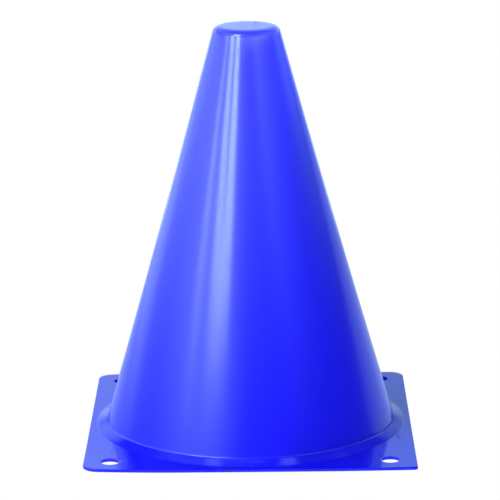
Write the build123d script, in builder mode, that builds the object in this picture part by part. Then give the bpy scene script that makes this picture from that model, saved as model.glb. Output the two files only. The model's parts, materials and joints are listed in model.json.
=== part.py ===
from build123d import *

import os

# A small hollow marker cone on a square base, moulded in one shot from thin plastic.
# Millimetres. +Z is up, X runs from left to right and Y from front to back.
# The origin is on the floor at the centre of the square base, under the cone's tip.
#
# The one moulding is written as four regions that meet face to face: the rounded crown,
# the sloping wall, the shallow flare at its foot and the flat base with its four holes.

# Overall sizes
cone_height = 178.0
base_width = 141.6

# Plastic thickness
wall_thickness = 1.2
base_thickness = 1.2

# Outer profile of the cone
crown_radius = 14.1  # where the wall's line would meet the flat top
crown_fillet = 3.4
crown_depth = 8.5  # from the flat top down to where the wall begins
wall_bow = 0.5  # how far the wall's middle lies inside its chord
crease_fillet = 1.2  # between the wall and the flare

# Flare at the foot, between the wall and the base
base_rim = 2.9  # flat strip left between the flare and the middle of each side
flare_run = 4.5  # how far the flare spreads beyond the wall
flare_rise = 2.15  # how far the flare climbs above the base's top face

# Base corners and holes
corner_radius = 6.5
tight_corner_radius = 1.5  # the front right corner is nearly square
hole_diameter = 7.9
hole_inset = 11.25  # from the hole's centre to each of the two nearest edges

# Worked out from the sizes above
flare_radius = base_width / 2 - base_rim
foot_radius = flare_radius - flare_run
foot_height = base_thickness + flare_rise
wall_height = cone_height - crown_depth - foot_height
hole_spacing = base_width - 2 * hole_inset

shoulder = Vector(crown_radius, cone_height)
crease = Vector(foot_radius, foot_height)
wall_direction = (crease - shoulder).normalized()
towards_axis = Vector(wall_direction.Y, -wall_direction.X)
wall_middle = (shoulder + crease) / 2 + towards_axis * wall_bow
flare_toe = crease + Vector(flare_run, -flare_rise) * 2  # drawn on past the floor

# Half section of the whole shell: radius along X, height along Y
with BuildSketch() as shell_section:
    with BuildLine() as profile:
        Line((0, cone_height), shoulder)
        ThreePointArc(shoulder, wall_middle, crease)
        Line(crease, flare_toe)
        fillet(profile.vertices().sort_by_distance(shoulder)[0], crown_fillet)
        fillet(profile.vertices().sort_by_distance(crease)[0], crease_fillet)
        offset(amount=wall_thickness, side=Side.RIGHT, closed=True)
    make_face()


def keep_band(bottom, height):
    """Keeps the stretch of the shell's section between two heights."""
    add(shell_section.sketch)
    with Locations((0, bottom)):
        Rectangle(flare_radius, height, align=Align.MIN, mode=Mode.INTERSECT)


with BuildPart() as crown:
    with BuildSketch(Plane.XZ):
        keep_band(cone_height - crown_depth, crown_depth)
    revolve(axis=Axis.Z)

with BuildPart() as cone_wall:
    with BuildSketch(Plane.XZ):
        keep_band(foot_height, wall_height)
    revolve(axis=Axis.Z)

with BuildPart() as foot_flare:
    with BuildSketch(Plane.XZ):
        keep_band(0, foot_height)
    revolve(axis=Axis.Z)

with BuildPart() as base_flange:
    with BuildSketch() as base_outline:
        Rectangle(base_width, base_width)
        to_front_right = Axis((0, 0, 0), (1, -1, 0))
        fillet(base_outline.vertices().sort_by(to_front_right)[:-1], corner_radius)
        fillet(base_outline.vertices().sort_by(to_front_right)[-1], tight_corner_radius)
        Circle(flare_radius, mode=Mode.SUBTRACT)
        with GridLocations(hole_spacing, hole_spacing, 2, 2):
            Circle(hole_diameter / 2, mode=Mode.SUBTRACT)
    extrude(amount=base_thickness)

os.makedirs("parts", exist_ok=True)

crown.part.label = "crown"
export_step(crown.part, "parts/crown.step")

cone_wall.part.label = "cone_wall"
export_step(cone_wall.part, "parts/cone_wall.step")

foot_flare.part.label = "foot_flare"
export_step(foot_flare.part, "parts/foot_flare.step")

base_flange.part.label = "base_flange"
export_step(base_flange.part, "parts/base_flange.step")
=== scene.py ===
import json
import math

import bmesh
import bpy
from mathutils import Euler, Matrix, Vector


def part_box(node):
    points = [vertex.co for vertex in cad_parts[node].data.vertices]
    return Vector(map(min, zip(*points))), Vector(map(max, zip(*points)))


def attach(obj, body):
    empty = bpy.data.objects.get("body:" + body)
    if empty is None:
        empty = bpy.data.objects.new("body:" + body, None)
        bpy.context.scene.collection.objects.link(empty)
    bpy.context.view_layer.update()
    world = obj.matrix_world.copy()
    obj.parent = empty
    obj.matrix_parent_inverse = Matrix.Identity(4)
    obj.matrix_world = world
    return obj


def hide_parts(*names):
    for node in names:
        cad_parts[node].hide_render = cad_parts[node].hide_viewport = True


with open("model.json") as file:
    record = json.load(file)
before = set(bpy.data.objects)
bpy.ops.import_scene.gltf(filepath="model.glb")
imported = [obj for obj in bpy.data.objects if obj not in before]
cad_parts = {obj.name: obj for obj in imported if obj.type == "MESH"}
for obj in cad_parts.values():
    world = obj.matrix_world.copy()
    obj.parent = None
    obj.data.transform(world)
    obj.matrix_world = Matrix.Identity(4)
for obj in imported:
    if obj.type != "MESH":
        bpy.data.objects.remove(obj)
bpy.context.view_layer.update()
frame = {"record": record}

# A small blue marker cone, moulded in one piece from thin glossy plastic, on a white studio floor.
# Metres. +Z is up, +X to the right and -Y towards the viewer, with the origin under the tip.

MM = 0.001
AROUND = 256  # points in each ring of the mesh

# Sizes read from the frame
cone_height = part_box("crown")[1].z
crown_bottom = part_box("crown")[0].z
foot_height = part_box("foot_flare")[1].z
flare_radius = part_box("foot_flare")[1].x
base_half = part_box("base_flange")[1].x
base_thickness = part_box("base_flange")[1].z
hole_pattern = next(m for m in frame["record"]["mounts"] if m["name"] == "base_holes")["dims"]
hole_offset = hole_pattern["spacing_x_mm"] * MM / 2
hole_radius = hole_pattern["hole_r_mm"] * MM

# Sizes of the moulding that the frame's boxes don't give
wall_thickness = 1.2 * MM
crown_radius = 14.1 * MM
crown_fillet = 3.4 * MM
wall_bow = 0.5 * MM
foot_radius = flare_radius - 4.5 * MM
crease_fillet = 1.2 * MM
toe_fillet = 1.2 * MM
corner_radius = 6.5 * MM
tight_corner_radius = 1.5 * MM
edge_rounding = 0.25 * MM
hole_rounding = 0.1 * MM
corner_lifts = [0, 0, 0.85 * MM, 0.35 * MM]  # back right, back left, front left, front right
gate_place = -9.4 * MM  # the dull mark on the base's front edge, left of its middle
gate_half_width = 1.5 * MM
gate_depth = 0.75 * MM  # how far the mark reaches back from the edge
gate_blur = 0.2  # how much of those two sizes its border fades over, each way
wall_seam_rise = 1.0 * MM  # the wall's mesh ends this far above the crease's fillet
base_seam_radius = flare_radius + 0.8 * MM


# ---------------------------------------------------------------- materials

def new_material(name):
    """A node material with nothing in it yet."""
    material = bpy.data.materials.new(name)
    material.use_nodes = True
    material.node_tree.nodes.clear()
    return material


def add_node(tree, kind, **settings):
    """A node with its properties and inputs set. An underscore stands for a space."""
    node = tree.nodes.new(kind)
    for key, value in settings.items():
        if hasattr(node, key):
            setattr(node, key, value)
        else:
            node.inputs[key.replace("_", " ")].default_value = value
    return node


def map_range(tree, source, low, high, start, end, interpolation="LINEAR"):
    """Takes a socket's value from the range low to high into the range start to end."""
    node = add_node(tree, "ShaderNodeMapRange", interpolation_type=interpolation)
    node.clamp = True
    for name, value in zip(("From Min", "From Max", "To Min", "To Max"), (low, high, start, end)):
        node.inputs[name].default_value = value
    tree.links.new(source, node.inputs["Value"])
    return node.outputs["Result"]


def combine(tree, operation, first, second):
    """A sum or product of two sockets' values."""
    node = add_node(tree, "ShaderNodeMath", operation=operation)
    tree.links.new(first, node.inputs[0])
    tree.links.new(second, node.inputs[1])
    return node.outputs[0]


def show(tree, shader):
    """Links a shader's socket to the material's output."""
    output = add_node(tree, "ShaderNodeOutputMaterial")
    tree.links.new(shader, output.inputs["Surface"])


def noise(tree, place, stretch, scale, detail):
    """Noise over the object, in metres. Stretch makes it longer along an axis."""
    mapping = add_node(tree, "ShaderNodeMapping", Scale=stretch)
    texture = add_node(tree, "ShaderNodeTexNoise", Scale=scale, Detail=detail)
    tree.links.new(place.outputs["Object"], mapping.inputs["Vector"])
    tree.links.new(mapping.outputs["Vector"], texture.inputs["Vector"])
    return texture.outputs["Fac"]


def gate_mark(tree, place):
    """A mask that is 1 on the small patch of the front edge where the plastic came in."""
    split = add_node(tree, "ShaderNodeSeparateXYZ")
    tree.links.new(place.outputs["Object"], split.inputs[0])
    along = add_node(tree, "ShaderNodeMath", operation="SUBTRACT")
    along.inputs[1].default_value = gate_place
    tree.links.new(split.outputs["X"], along.inputs[0])
    away = add_node(tree, "ShaderNodeMath", operation="ABSOLUTE")
    tree.links.new(along.outputs[0], away.inputs[0])
    side_blur = gate_half_width * gate_blur
    beside = map_range(
        tree, away.outputs[0], gate_half_width - side_blur, gate_half_width + side_blur, 1, 0)
    back = gate_depth - base_half
    back_blur = gate_depth * gate_blur
    front = map_range(tree, split.outputs["Y"], back - back_blur, back + back_blur, 1, 0)
    return combine(tree, "MULTIPLY", beside, front)


def plastic_material(name, roughness, dark, light, scuffs, gate_tone=None):
    """Glossy plastic that drifts between two tones of blue, with the mould's faint waves,
    fine draw marks up the wall and dull scuffs, and the gate's mark if it has a tone."""
    material = new_material(name)
    tree = material.node_tree
    place = add_node(tree, "ShaderNodeTexCoord")
    waves = noise(tree, place, (1, 1, 0.35), 30, 2)
    grain = noise(tree, place, (1, 1, 1), 1400, 2)
    draw_marks = noise(tree, place, (1, 1, 0.02), 900, 1)
    scuff_marks = noise(tree, place, (1, 0.12, 1), 420, 4)
    tone = add_node(tree, "ShaderNodeValToRGB")
    tone.color_ramp.elements[0].position = 0.35
    tone.color_ramp.elements[0].color = (*dark, 1)
    tone.color_ramp.elements[1].position = 0.65
    tone.color_ramp.elements[1].color = (*light, 1)
    tree.links.new(waves, tone.inputs["Fac"])
    scuffed = map_range(tree, scuff_marks, 0.60, 0.72, 0, scuffs)
    drift = 0.015
    uneven = map_range(tree, draw_marks, 0.3, 0.7, roughness - drift, roughness + drift)
    dull = combine(tree, "ADD", uneven, scuffed)
    shallow = add_node(tree, "ShaderNodeBump", Strength=0.5, Distance=0.12 * MM)
    tree.links.new(waves, shallow.inputs["Height"])
    fine = add_node(tree, "ShaderNodeBump", Strength=0.12, Distance=0.01 * MM)
    tree.links.new(grain, fine.inputs["Height"])
    tree.links.new(shallow.outputs["Normal"], fine.inputs["Normal"])
    shader = add_node(tree, "ShaderNodeBsdfPrincipled", IOR=1.5)
    colour = tone.outputs["Color"]
    if gate_tone:
        mark = gate_mark(tree, place)
        darker = add_node(tree, "ShaderNodeMix", data_type="RGBA")
        darker.inputs["B"].default_value = (*gate_tone, 1)
        tree.links.new(mark, darker.inputs["Factor"])
        tree.links.new(colour, darker.inputs["A"])
        colour = darker.outputs["Result"]
        dull = combine(tree, "ADD", dull, map_range(tree, mark, 0, 1, 0, 0.4))
    tree.links.new(colour, shader.inputs["Base Color"])
    tree.links.new(dull, shader.inputs["Roughness"])
    tree.links.new(fine.outputs["Normal"], shader.inputs["Normal"])
    show(tree, shader.outputs["BSDF"])
    return material


# ---------------------------------------------------------------- mesh helpers

def new_piece(name, bm, material, replaced_node):
    """Turns a finished bmesh into a piece on the one body, in place of a frame node."""
    bmesh.ops.recalc_face_normals(bm, faces=bm.faces)
    mesh = bpy.data.meshes.new(name)
    bm.to_mesh(mesh)
    bm.free()
    mesh.polygons.foreach_set("use_smooth", [True] * len(mesh.polygons))
    mesh.materials.append(material)
    piece = bpy.data.objects.new(name, mesh)
    bpy.context.scene.collection.objects.link(piece)
    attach(piece, "root")
    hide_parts(replaced_node)


def add_loop(bm, points, z):
    """Vertices at one height, in the order of the points."""
    return [bm.verts.new((p.x, p.y, z)) for p in points]


def circle_points(radius, count):
    """Points round the axis, anticlockwise from the right."""
    turns = [2 * math.pi * i / count for i in range(count)]
    return [Vector((radius * math.cos(a), radius * math.sin(a))) for a in turns]


def bridge(bm, first, second):
    """Quads between two closed loops of as many vertices, or a fan where one is a pole."""
    count = max(len(first), len(second))
    for i in range(count):
        j = (i + 1) % count
        if len(first) == 1 and len(second) > 1:
            bm.faces.new((first[0], second[i], second[j]))
        elif len(second) == 1 and len(first) > 1:
            bm.faces.new((first[i], first[j], second[0]))
        elif len(first) > 1:
            bm.faces.new((first[i], first[j], second[j], second[i]))


def mark_sharp(bm, loop):
    """Stops the shading from running over the edges of a closed loop."""
    for i, vert in enumerate(loop):
        bm.edges.get((vert, loop[(i + 1) % len(loop)])).smooth = False


# ---------------------------------------------------------------- cone, crown and flare

def rounded_corner(before, corner, after, radius, steps):
    """Points and outward normals of the arc that rounds one corner of the profile."""
    arriving = (corner - before).normalized()
    leaving = (after - corner).normalized()
    turn = arriving.angle_signed(leaving)
    side = 1 if turn > 0 else -1
    start = corner - arriving * radius * math.tan(abs(turn) / 2)
    normal = Vector((-arriving.y, arriving.x))
    centre = start - normal * radius * side
    turned = [Matrix.Rotation(-turn * i / steps, 2) @ normal for i in range(steps + 1)]
    return [(centre + n * radius * side, n) for n in turned]


def spread(start, end, steps):
    """Evenly spaced values from start to end, with both of them."""
    return [start + (end - start) * i / steps for i in range(steps + 1)]


def cone_profile():
    """The outer surface from the crown's centre down to the base, as three lists of points
    with outward normals: crown, wall and flare. Each list starts where the last one ends."""
    top = Vector((0, cone_height))
    shoulder = Vector((crown_radius, cone_height))
    crease = Vector((foot_radius, foot_height))
    toe = Vector((flare_radius, base_thickness))
    rim = Vector((base_seam_radius, base_thickness))
    up = Vector((0, 1))
    crown_arc = rounded_corner(top, shoulder, crease, crown_fillet, 12)
    crease_arc = rounded_corner(shoulder, crease, toe, crease_fillet, 6)
    toe_arc = rounded_corner(crease, toe, rim, toe_fillet, 6)
    start, normal = crown_arc[-1]
    chord = crease_arc[0][0] - start

    def wall_at(share):
        depth = 4 * wall_bow * share * (1 - share)
        lean = 4 * wall_bow * (1 - 2 * share) / chord.length
        point = start + chord * share - normal * depth
        return point, (normal + chord.normalized() * lean).normalized()

    wall_top = (start.y - crown_bottom) / -chord.y
    wall_end = 1 + wall_seam_rise / chord.y
    crown = [(top.lerp(crown_arc[0][0], i / 4), up) for i in range(4)] + crown_arc
    crown += [wall_at(share) for share in spread(0, wall_top, 3)[1:]]
    wall = [wall_at(share) for share in spread(wall_top, wall_end, 48)]
    flare = [wall_at(wall_end)] + crease_arc + toe_arc + [(rim, up)]
    return crown, wall, flare


def shell_piece(name, material, replaced_node, outer):
    """A closed shell between outer rows and the same rows moved in by the wall's thickness."""
    inner = [p - n * wall_thickness for p, n in reversed(outer)]
    rows = [p for p, n in outer] + [Vector((p.x, max(p.y, 0))) for p in inner]
    bm = bmesh.new()
    loops = []
    for row in rows:
        at_pole = row.x == 0
        loops.append(add_loop(bm, circle_points(row.x, 1 if at_pole else AROUND), row.y))
    for first, second in zip(loops, loops[1:] + loops[:1]):
        bridge(bm, first, second)
    for loop in (loops[0], loops[len(outer) - 1], loops[len(outer)], loops[-1]):
        if len(loop) > 1:
            mark_sharp(bm, loop)
    new_piece(name, bm, material, replaced_node)


# ---------------------------------------------------------------- square base

def base_outline(inset):
    """The base's outline, moved in by inset, as AROUND points. They start at the middle of
    the right side and go anticlockwise. Each eighth is a straight run and half a corner,
    and the front right corner is the tight one."""
    on_side = 24
    on_corner = AROUND // 4 - 2 * on_side
    points = []
    for quarter in range(4):
        turn = Matrix.Rotation(quarter * math.pi / 2, 2)
        half = base_half - inset
        radius = (tight_corner_radius if quarter == 3 else corner_radius) - inset
        centre = Vector((half - radius, half - radius))
        mine = [Vector((half, centre.y * i / on_side)) for i in range(on_side)]
        for i in range(on_corner):
            a = math.pi / 2 * i / on_corner
            mine.append(centre + radius * Vector((math.cos(a), math.sin(a))))
        mine += [Vector((centre.x * (1 - i / on_side), half)) for i in range(on_side)]
        points += [turn @ p for p in mine]
    return points


def hole_points(around, quarter, radius):
    """Points on a circle about a corner's hole, as many as there are vertices around it."""
    middle = math.pi / 4 + quarter * math.pi / 2
    centre = Vector((math.cos(middle), math.sin(middle))) * hole_offset * math.sqrt(2)
    start = around[0].co.xy - centre
    first = math.atan2(start.y, start.x)
    turns = [first + 2 * math.pi * i / len(around) for i in range(len(around))]
    return [centre + radius * Vector((math.cos(a), math.sin(a))) for a in turns]


def base_face(bm, z):
    """The top or the bottom face: a grid from the flare to the outline, with a patch of the
    grid in each corner swapped for rings that close in on the hole. Returns the outer loop,
    the inner loop, and each hole's loop with the patch's edge."""
    rows = 12
    patch_low, patch_high, patch_half = 3, 10, 8  # the patch's first and last row, half its columns
    inner = circle_points(base_seam_radius, AROUND)
    outline = base_outline(edge_rounding)
    grid = []
    for k in range(rows + 1):
        grid.append(add_loop(bm, [p.lerp(q, k / rows) for p, q in zip(inner, outline)], z))
    patched = set()
    holes = []
    for quarter in range(4):
        middle = AROUND // 8 + quarter * AROUND // 4
        first, last = middle - patch_half, middle + patch_half
        patched |= {(k, i) for k in range(patch_low, patch_high) for i in range(first, last)}
        around = [grid[patch_low][i] for i in range(last, first, -1)]
        around += [grid[k][first] for k in range(patch_low, patch_high)]
        around += [grid[patch_high][i] for i in range(first, last)]
        around += [grid[k][last] for k in range(patch_high, patch_low, -1)]
        rim = hole_points(around, quarter, hole_radius + hole_rounding)
        loop = around
        rings = 5
        for k in range(1, rings + 1):
            closer = [v.co.xy.lerp(p, k / rings) for v, p in zip(around, rim)]
            ring = add_loop(bm, closer, z)
            bridge(bm, loop, ring)
            loop = ring
        holes.append((loop, around))
    for k in range(rows):
        for i in range(AROUND):
            if (k, i) not in patched:
                j = (i + 1) % AROUND
                bm.faces.new((grid[k][i], grid[k][j], grid[k + 1][j], grid[k + 1][i]))
    spare = [v for ring in grid for v in ring if not v.link_faces]
    bmesh.ops.delete(bm, geom=spare, context="VERTS")
    return grid[rows], grid[0], holes


def rounded_edge(bm, top_loop, bottom_loop, points_at, rounding):
    """Joins the top face to the bottom one round an edge. points_at gives the edge's points
    when it is moved back into the plastic by a distance."""
    steps = 4
    loops = [top_loop]
    arc = [math.pi / 2 * i / steps for i in range(1, steps + 1)]
    levels = [(rounding * (1 - math.sin(a)), base_thickness - rounding * (1 - math.cos(a))) for a in arc]
    levels += [(back, base_thickness - z) for back, z in reversed(levels)]
    for back, z in levels:
        loops.append(add_loop(bm, points_at(back), z))
    loops.append(bottom_loop)
    for first, second in zip(loops, loops[1:]):
        bridge(bm, first, second)


def corner_lift(point):
    """How far the plate has warped upwards at a point, which is only near its corners."""
    lift = 0
    for quarter, height in enumerate(corner_lifts):
        a = math.pi / 4 + quarter * math.pi / 2
        reach = point.x * math.cos(a) + point.y * math.sin(a) - base_seam_radius
        lift += height * (max(0, reach) / (base_half * math.sqrt(2) - base_seam_radius)) ** 2
    return lift


def base_plate(material):
    """The square base outside the flare, with rounded edges on its outline and its holes."""
    bm = bmesh.new()
    top_rim, top_seam, top_holes = base_face(bm, base_thickness)
    bottom_rim, bottom_seam, bottom_holes = base_face(bm, 0)
    bridge(bm, top_seam, bottom_seam)
    mark_sharp(bm, top_seam)
    mark_sharp(bm, bottom_seam)
    rounded_edge(bm, top_rim, bottom_rim, base_outline, edge_rounding)
    for quarter in range(4):
        loop, around = top_holes[quarter]
        rounded_edge(bm, loop, bottom_holes[quarter][0],
                     lambda back: hole_points(around, quarter, hole_radius + back), hole_rounding)
    for vert in bm.verts:
        vert.co.z += corner_lift(vert.co)
    new_piece("base_plate", bm, material, "base_flange")


# ---------------------------------------------------------------- studio

def staged(name, mesh, material):
    """An object that isn't part of the cone."""
    mesh.materials.append(material)
    thing = bpy.data.objects.new(name, mesh)
    bpy.context.scene.collection.objects.link(thing)
    return thing


def tinted(strength, red=0.72, blue=1.05):
    """The studio light's colour at a strength."""
    return (red * strength, strength, blue * strength, 1)


def glowing_material(name, colour):
    """A material that only gives off light."""
    material = new_material(name)
    tree = material.node_tree
    glow = add_node(tree, "ShaderNodeEmission", Color=colour)
    show(tree, glow.outputs[0])
    return material


def seen_or_felt(tree, seen, felt):
    """One shader where the camera sees it and another in reflections and as light."""
    rays = add_node(tree, "ShaderNodeLightPath")
    mix = add_node(tree, "ShaderNodeMixShader")
    tree.links.new(rays.outputs["Is Camera Ray"], mix.inputs[0])
    tree.links.new(felt.outputs[0], mix.inputs[1])
    tree.links.new(seen.outputs[0], mix.inputs[2])
    return mix.outputs[0]


def floor_material(name, left, right, reach):
    """White where the camera sees it. In reflections and as light it is blue-white, and goes
    from one strength on the left of the cone to another on its right, over reach each way."""
    material = new_material(name)
    tree = material.node_tree
    seen = add_node(tree, "ShaderNodeEmission", Color=(1, 1, 1, 1))
    felt = add_node(tree, "ShaderNodeEmission", Color=tinted(1, blue=1.55))
    place = add_node(tree, "ShaderNodeTexCoord")
    split = add_node(tree, "ShaderNodeSeparateXYZ")
    tree.links.new(place.outputs["Object"], split.inputs[0])
    strength = map_range(tree, split.outputs["X"], -reach, reach, left, right)
    tree.links.new(strength, felt.inputs["Strength"])
    show(tree, seen_or_felt(tree, seen, felt))
    return material


def square_points(centre_x, centre_y, half):
    """A square's corners, anticlockwise."""
    around = ((-1, -1), (1, -1), (1, 1), (-1, 1))
    return [Vector((centre_x + x * half, centre_y + y * half)) for x, y in around]


def level_face(name, points, z, material):
    """A level face in the studio with its corners at the points."""
    mesh = bpy.data.meshes.new(name)
    mesh.from_pydata([(p.x, p.y, z) for p in points], [], [range(len(points))])
    return staged(name, mesh, material)


def lamp(name, points, z, strength):
    """A level light that the camera doesn't see."""
    light = level_face(name, points, z, glowing_material(name, tinted(strength)))
    light.visible_camera = False


def band_mesh(name, distance, azimuth, reach, lean, low, high):
    """An upright strip round the axis that leans as it rises. Its UVs are the offset from its
    middle, in hundreds of degrees, and the height in metres."""
    columns = 24
    bm = bmesh.new()
    uv_layer = bm.loops.layers.uv.new("UVMap")
    sides = []
    for height in (low, high):
        side = []
        for offset in spread(-reach, reach, columns):
            a = math.radians(azimuth + offset + lean * (height - lean_height))
            vert = bm.verts.new((distance * math.sin(a), -distance * math.cos(a), height))
            side.append((vert, (offset / 100, height)))
        sides.append(side)
    for i in range(columns):
        corners = (sides[0][i], sides[0][i + 1], sides[1][i + 1], sides[1][i])
        face = bm.faces.new([vert for vert, uv in corners])
        for loop, (vert, uv) in zip(face.loops, corners):
            loop[uv_layer].uv = uv
    mesh = bpy.data.meshes.new(name)
    bm.to_mesh(mesh)
    bm.free()
    return mesh


def light_band(name, distance, azimuth, half_width, feather, lean, bottom, fade, top,
               radiance, upper_radiance, colour=tinted(1)):
    """A curved light screen round the axis, which only reflections and diffuse light see.
    Azimuths and widths are in degrees, from the front and positive to the right, up to where
    the screen is at half strength. It fades out at its sides over feather degrees and at its
    bottom over a height, leans to the right by lean degrees per metre, and goes from one
    radiance at its bottom to another at the reference height. Light behind it passes through."""
    reach = half_width + feather / 2
    low = bottom - fade / 2
    material = new_material(name)
    tree = material.node_tree
    place = add_node(tree, "ShaderNodeTexCoord")
    split = add_node(tree, "ShaderNodeSeparateXYZ")
    away = add_node(tree, "ShaderNodeMath", operation="ABSOLUTE")
    tree.links.new(place.outputs["UV"], split.inputs[0])
    tree.links.new(split.outputs["X"], away.inputs[0])
    inner, outer = (half_width - feather / 2) / 100, reach / 100
    across = map_range(tree, away.outputs[0], inner, outer, 1, 0, "SMOOTHSTEP")
    upwards = map_range(tree, split.outputs["Y"], low, bottom + fade / 2, 0, 1, "SMOOTHSTEP")
    growth = map_range(tree, split.outputs["Y"], bottom, reference_height, radiance, upper_radiance)
    strength = combine(tree, "MULTIPLY", combine(tree, "MULTIPLY", across, upwards), growth)
    glow = add_node(tree, "ShaderNodeEmission", Color=colour)
    tree.links.new(strength, glow.inputs["Strength"])
    clear = add_node(tree, "ShaderNodeBsdfTransparent")
    both = add_node(tree, "ShaderNodeAddShader")
    tree.links.new(glow.outputs[0], both.inputs[0])
    tree.links.new(clear.outputs[0], both.inputs[1])
    show(tree, both.outputs[0])
    band = staged(name, band_mesh(name, distance, azimuth, reach, lean, low, top), material)
    band.visible_camera = False


# ---------------------------------------------------------------- the cone

wall_plastic = plastic_material(
    "wall_plastic", roughness=0.16, dark=(0.009, 0.0055, 0.84), light=(0.010, 0.0065, 0.92), scuffs=0.1)
# Painted light: the crown's plastic is a lighter copy of the wall's, standing in for the light that
# comes through the thin crown.
crown_plastic_painted_lighter = plastic_material(
    "crown_plastic_painted_lighter", roughness=0.16, dark=(0.010, 0.0065, 0.84), light=(0.012, 0.0075, 0.92), scuffs=0.1)
base_plastic = plastic_material(
    "base_plastic", roughness=0.1, dark=(0.009, 0.006, 0.80), light=(0.011, 0.008, 0.90), scuffs=0.2,
    gate_tone=(0.008, 0.006, 0.5))
crown_rows, wall_rows, flare_rows = cone_profile()
shell_piece("crown_cap", crown_plastic_painted_lighter, "crown", crown_rows)
shell_piece("cone_shell", wall_plastic, "cone_wall", wall_rows)
shell_piece("flare_ring", base_plastic, "foot_flare", flare_rows)
base_plate(base_plastic)


# ---------------------------------------------------------------- floor, lights and camera

floor_level = -0.1 * MM
studio_floor = floor_material("studio_floor", left=0.81, right=0.62, reach=0.3)
level_face("studio_floor", square_points(0, 0, 20), floor_level, studio_floor)

# The back holes look dark, so a small patch of shade lies on the floor under each.
shade_material = glowing_material("floor_shade", (0.02, 0.025, 0.35, 1))
shade_half = 0.8 * (base_half - hole_offset)
for side in (-1, 1):
    patch = square_points(side * hole_offset, hole_offset, shade_half)
    level_face("floor_shade", patch, floor_level / 2, shade_material)

far = 0.55  # distance of the screens that the wall and the base reflect
near = 0.15  # distance of the screen behind the crown's flat top
close = 0.06  # distance of the screens round the crown's shoulder
reference_height = 0.35  # where each screen has its upper radiance
lean_height = 0.25  # where a leaning screen is at its azimuth
cool = tinted(1, red=0.62)
cooler = tinted(1, red=0.62, blue=1.3)

# Name, distance, azimuth, half-width, feather, lean, bottom, fade, top, radiance, upper radiance.
# The first three are the tall highlights on the wall, and the rest are its soft surroundings.
# The first eight rows aren't chosen values: they are the rounded output of a least-squares fit to
# the photograph's brightness, and only five of the fitted numbers were then changed.
light_band("strip_right", far, -26.8, 5.6, 3, 1.2, 0.193, 0.08, 0.43, 6.5, 11.3)
light_band("strip_left", far, -39.4, 5.4, 4, -59.7, 0.181, 0.08, 0.43, 5.8, 9.24)
light_band("strip_far_left", far, -60.3, 2.25, 12, -60, 0.176, 0.17, 0.4, 6.76, 5.45)
light_band("left_screen", far, -50.1, 29.8, 47.1, 24.4, 0.136, 0.328, 0.4, 4.4, 3.26)
light_band("front_screen", far, -10.5, 44.7, 79.2, 60, 0.249, 0.33, 0.41, 1.88, 1.63)
light_band("right_screen", far, 57.9, 30.3, 22.1, -60, 0.221, 0.27, 0.41, 1.0, 1.33)
light_band("rear_left_screen", far, -106.1, 27.2, 41.5, 60, 0.063, 0.391, 0.3, 1.73, 3.11)
light_band("rear_right_screen", far, 113.4, 20.2, 37.4, -38.5, 0.245, 0.397, 0.32, 3.0, 2.54, cool)
light_band("back_left_screen", far, -168, 12, 6, 0, 0, 0.02, 0.27, 0.83, 0.83)
light_band("back_right_screen", far, 168, 12, 6, 0, 0, 0.02, 0.27, 0.65, 0.65, cooler)
light_band("back_left_fill", far, -145, 9, 10, 98, 0.13, 0.1, 0.36, 0.8, 0.9)
light_band("back_right_fill", far, 145, 9, 10, -98, 0.13, 0.1, 0.36, 0.55, 0.55, cooler)

# The same columns, for the screens that mostly the crown's shoulder and flat top reflect.
light_band("crown_back_screen", near, 180, 50, 30, 0, 0.19, 0.008, 0.219, 0.85, 0.85)
light_band("crown_front_ring", close, 0, 90, 30, 0, 0.189, 0.01, 0.27, 2.0, 2.0)
light_band("crown_left_ring", close, -125, 35, 30, 0, 0.189, 0.01, 0.27, 1.1, 1.1)
light_band("crown_right_ring", close, 125, 35, 30, 0, 0.189, 0.01, 0.27, 1.1, 1.1)
light_band("crown_back_ring", close, 180, 20, 30, 0, 0.2, 0.01, 0.27, 1.1, 1.1)
light_band("crown_strip_right", close, -27.5, 5.2, 3, 0, 0.2, 0.002, 0.262, 20, 0)
light_band("crown_strip_left", close, -42, 4.5, 3, 0, 0.2, 0.002, 0.262, 18.5, 0)

# A large soft light above the left side, and a small one just over the crown.
lamp("ceiling_light", square_points(-0.75, -0.15, 0.7), z=1, strength=0.5)
lamp("overhead_light", circle_points(20 * MM, 48), z=cone_height + 17 * MM, strength=1)

world = bpy.data.worlds.new("studio")
bpy.context.scene.world = world
world.use_nodes = True
tree = world.node_tree
tree.nodes.clear()
white = add_node(tree, "ShaderNodeBackground", Color=(1, 1, 1, 1))
dark = add_node(tree, "ShaderNodeBackground", Color=tinted(0.1))
output = add_node(tree, "ShaderNodeOutputWorld")
tree.links.new(seen_or_felt(tree, white, dark), output.inputs["Surface"])

# A least-squares fit to the cone's outline gave these. The lens and the downward angle were nudged.
camera_place = (0.0079, -1.2338, 0.3920)
camera_down = math.radians(14.254)
camera_turn = math.radians(0.340)
camera_roll = math.radians(-0.620)
camera_data = bpy.data.cameras.new("camera")
camera_data.sensor_width = 36
camera_data.lens = 209.3
camera = bpy.data.objects.new("camera", camera_data)
bpy.context.scene.collection.objects.link(camera)
camera.location = camera_place
look = Euler((math.pi / 2 - camera_down, 0, camera_turn)).to_matrix()
camera.rotation_euler = (look @ Matrix.Rotation(camera_roll, 3, "Z")).to_euler()
bpy.context.scene.camera = camera
bpy.context.scene.view_settings.view_transform = "Standard"
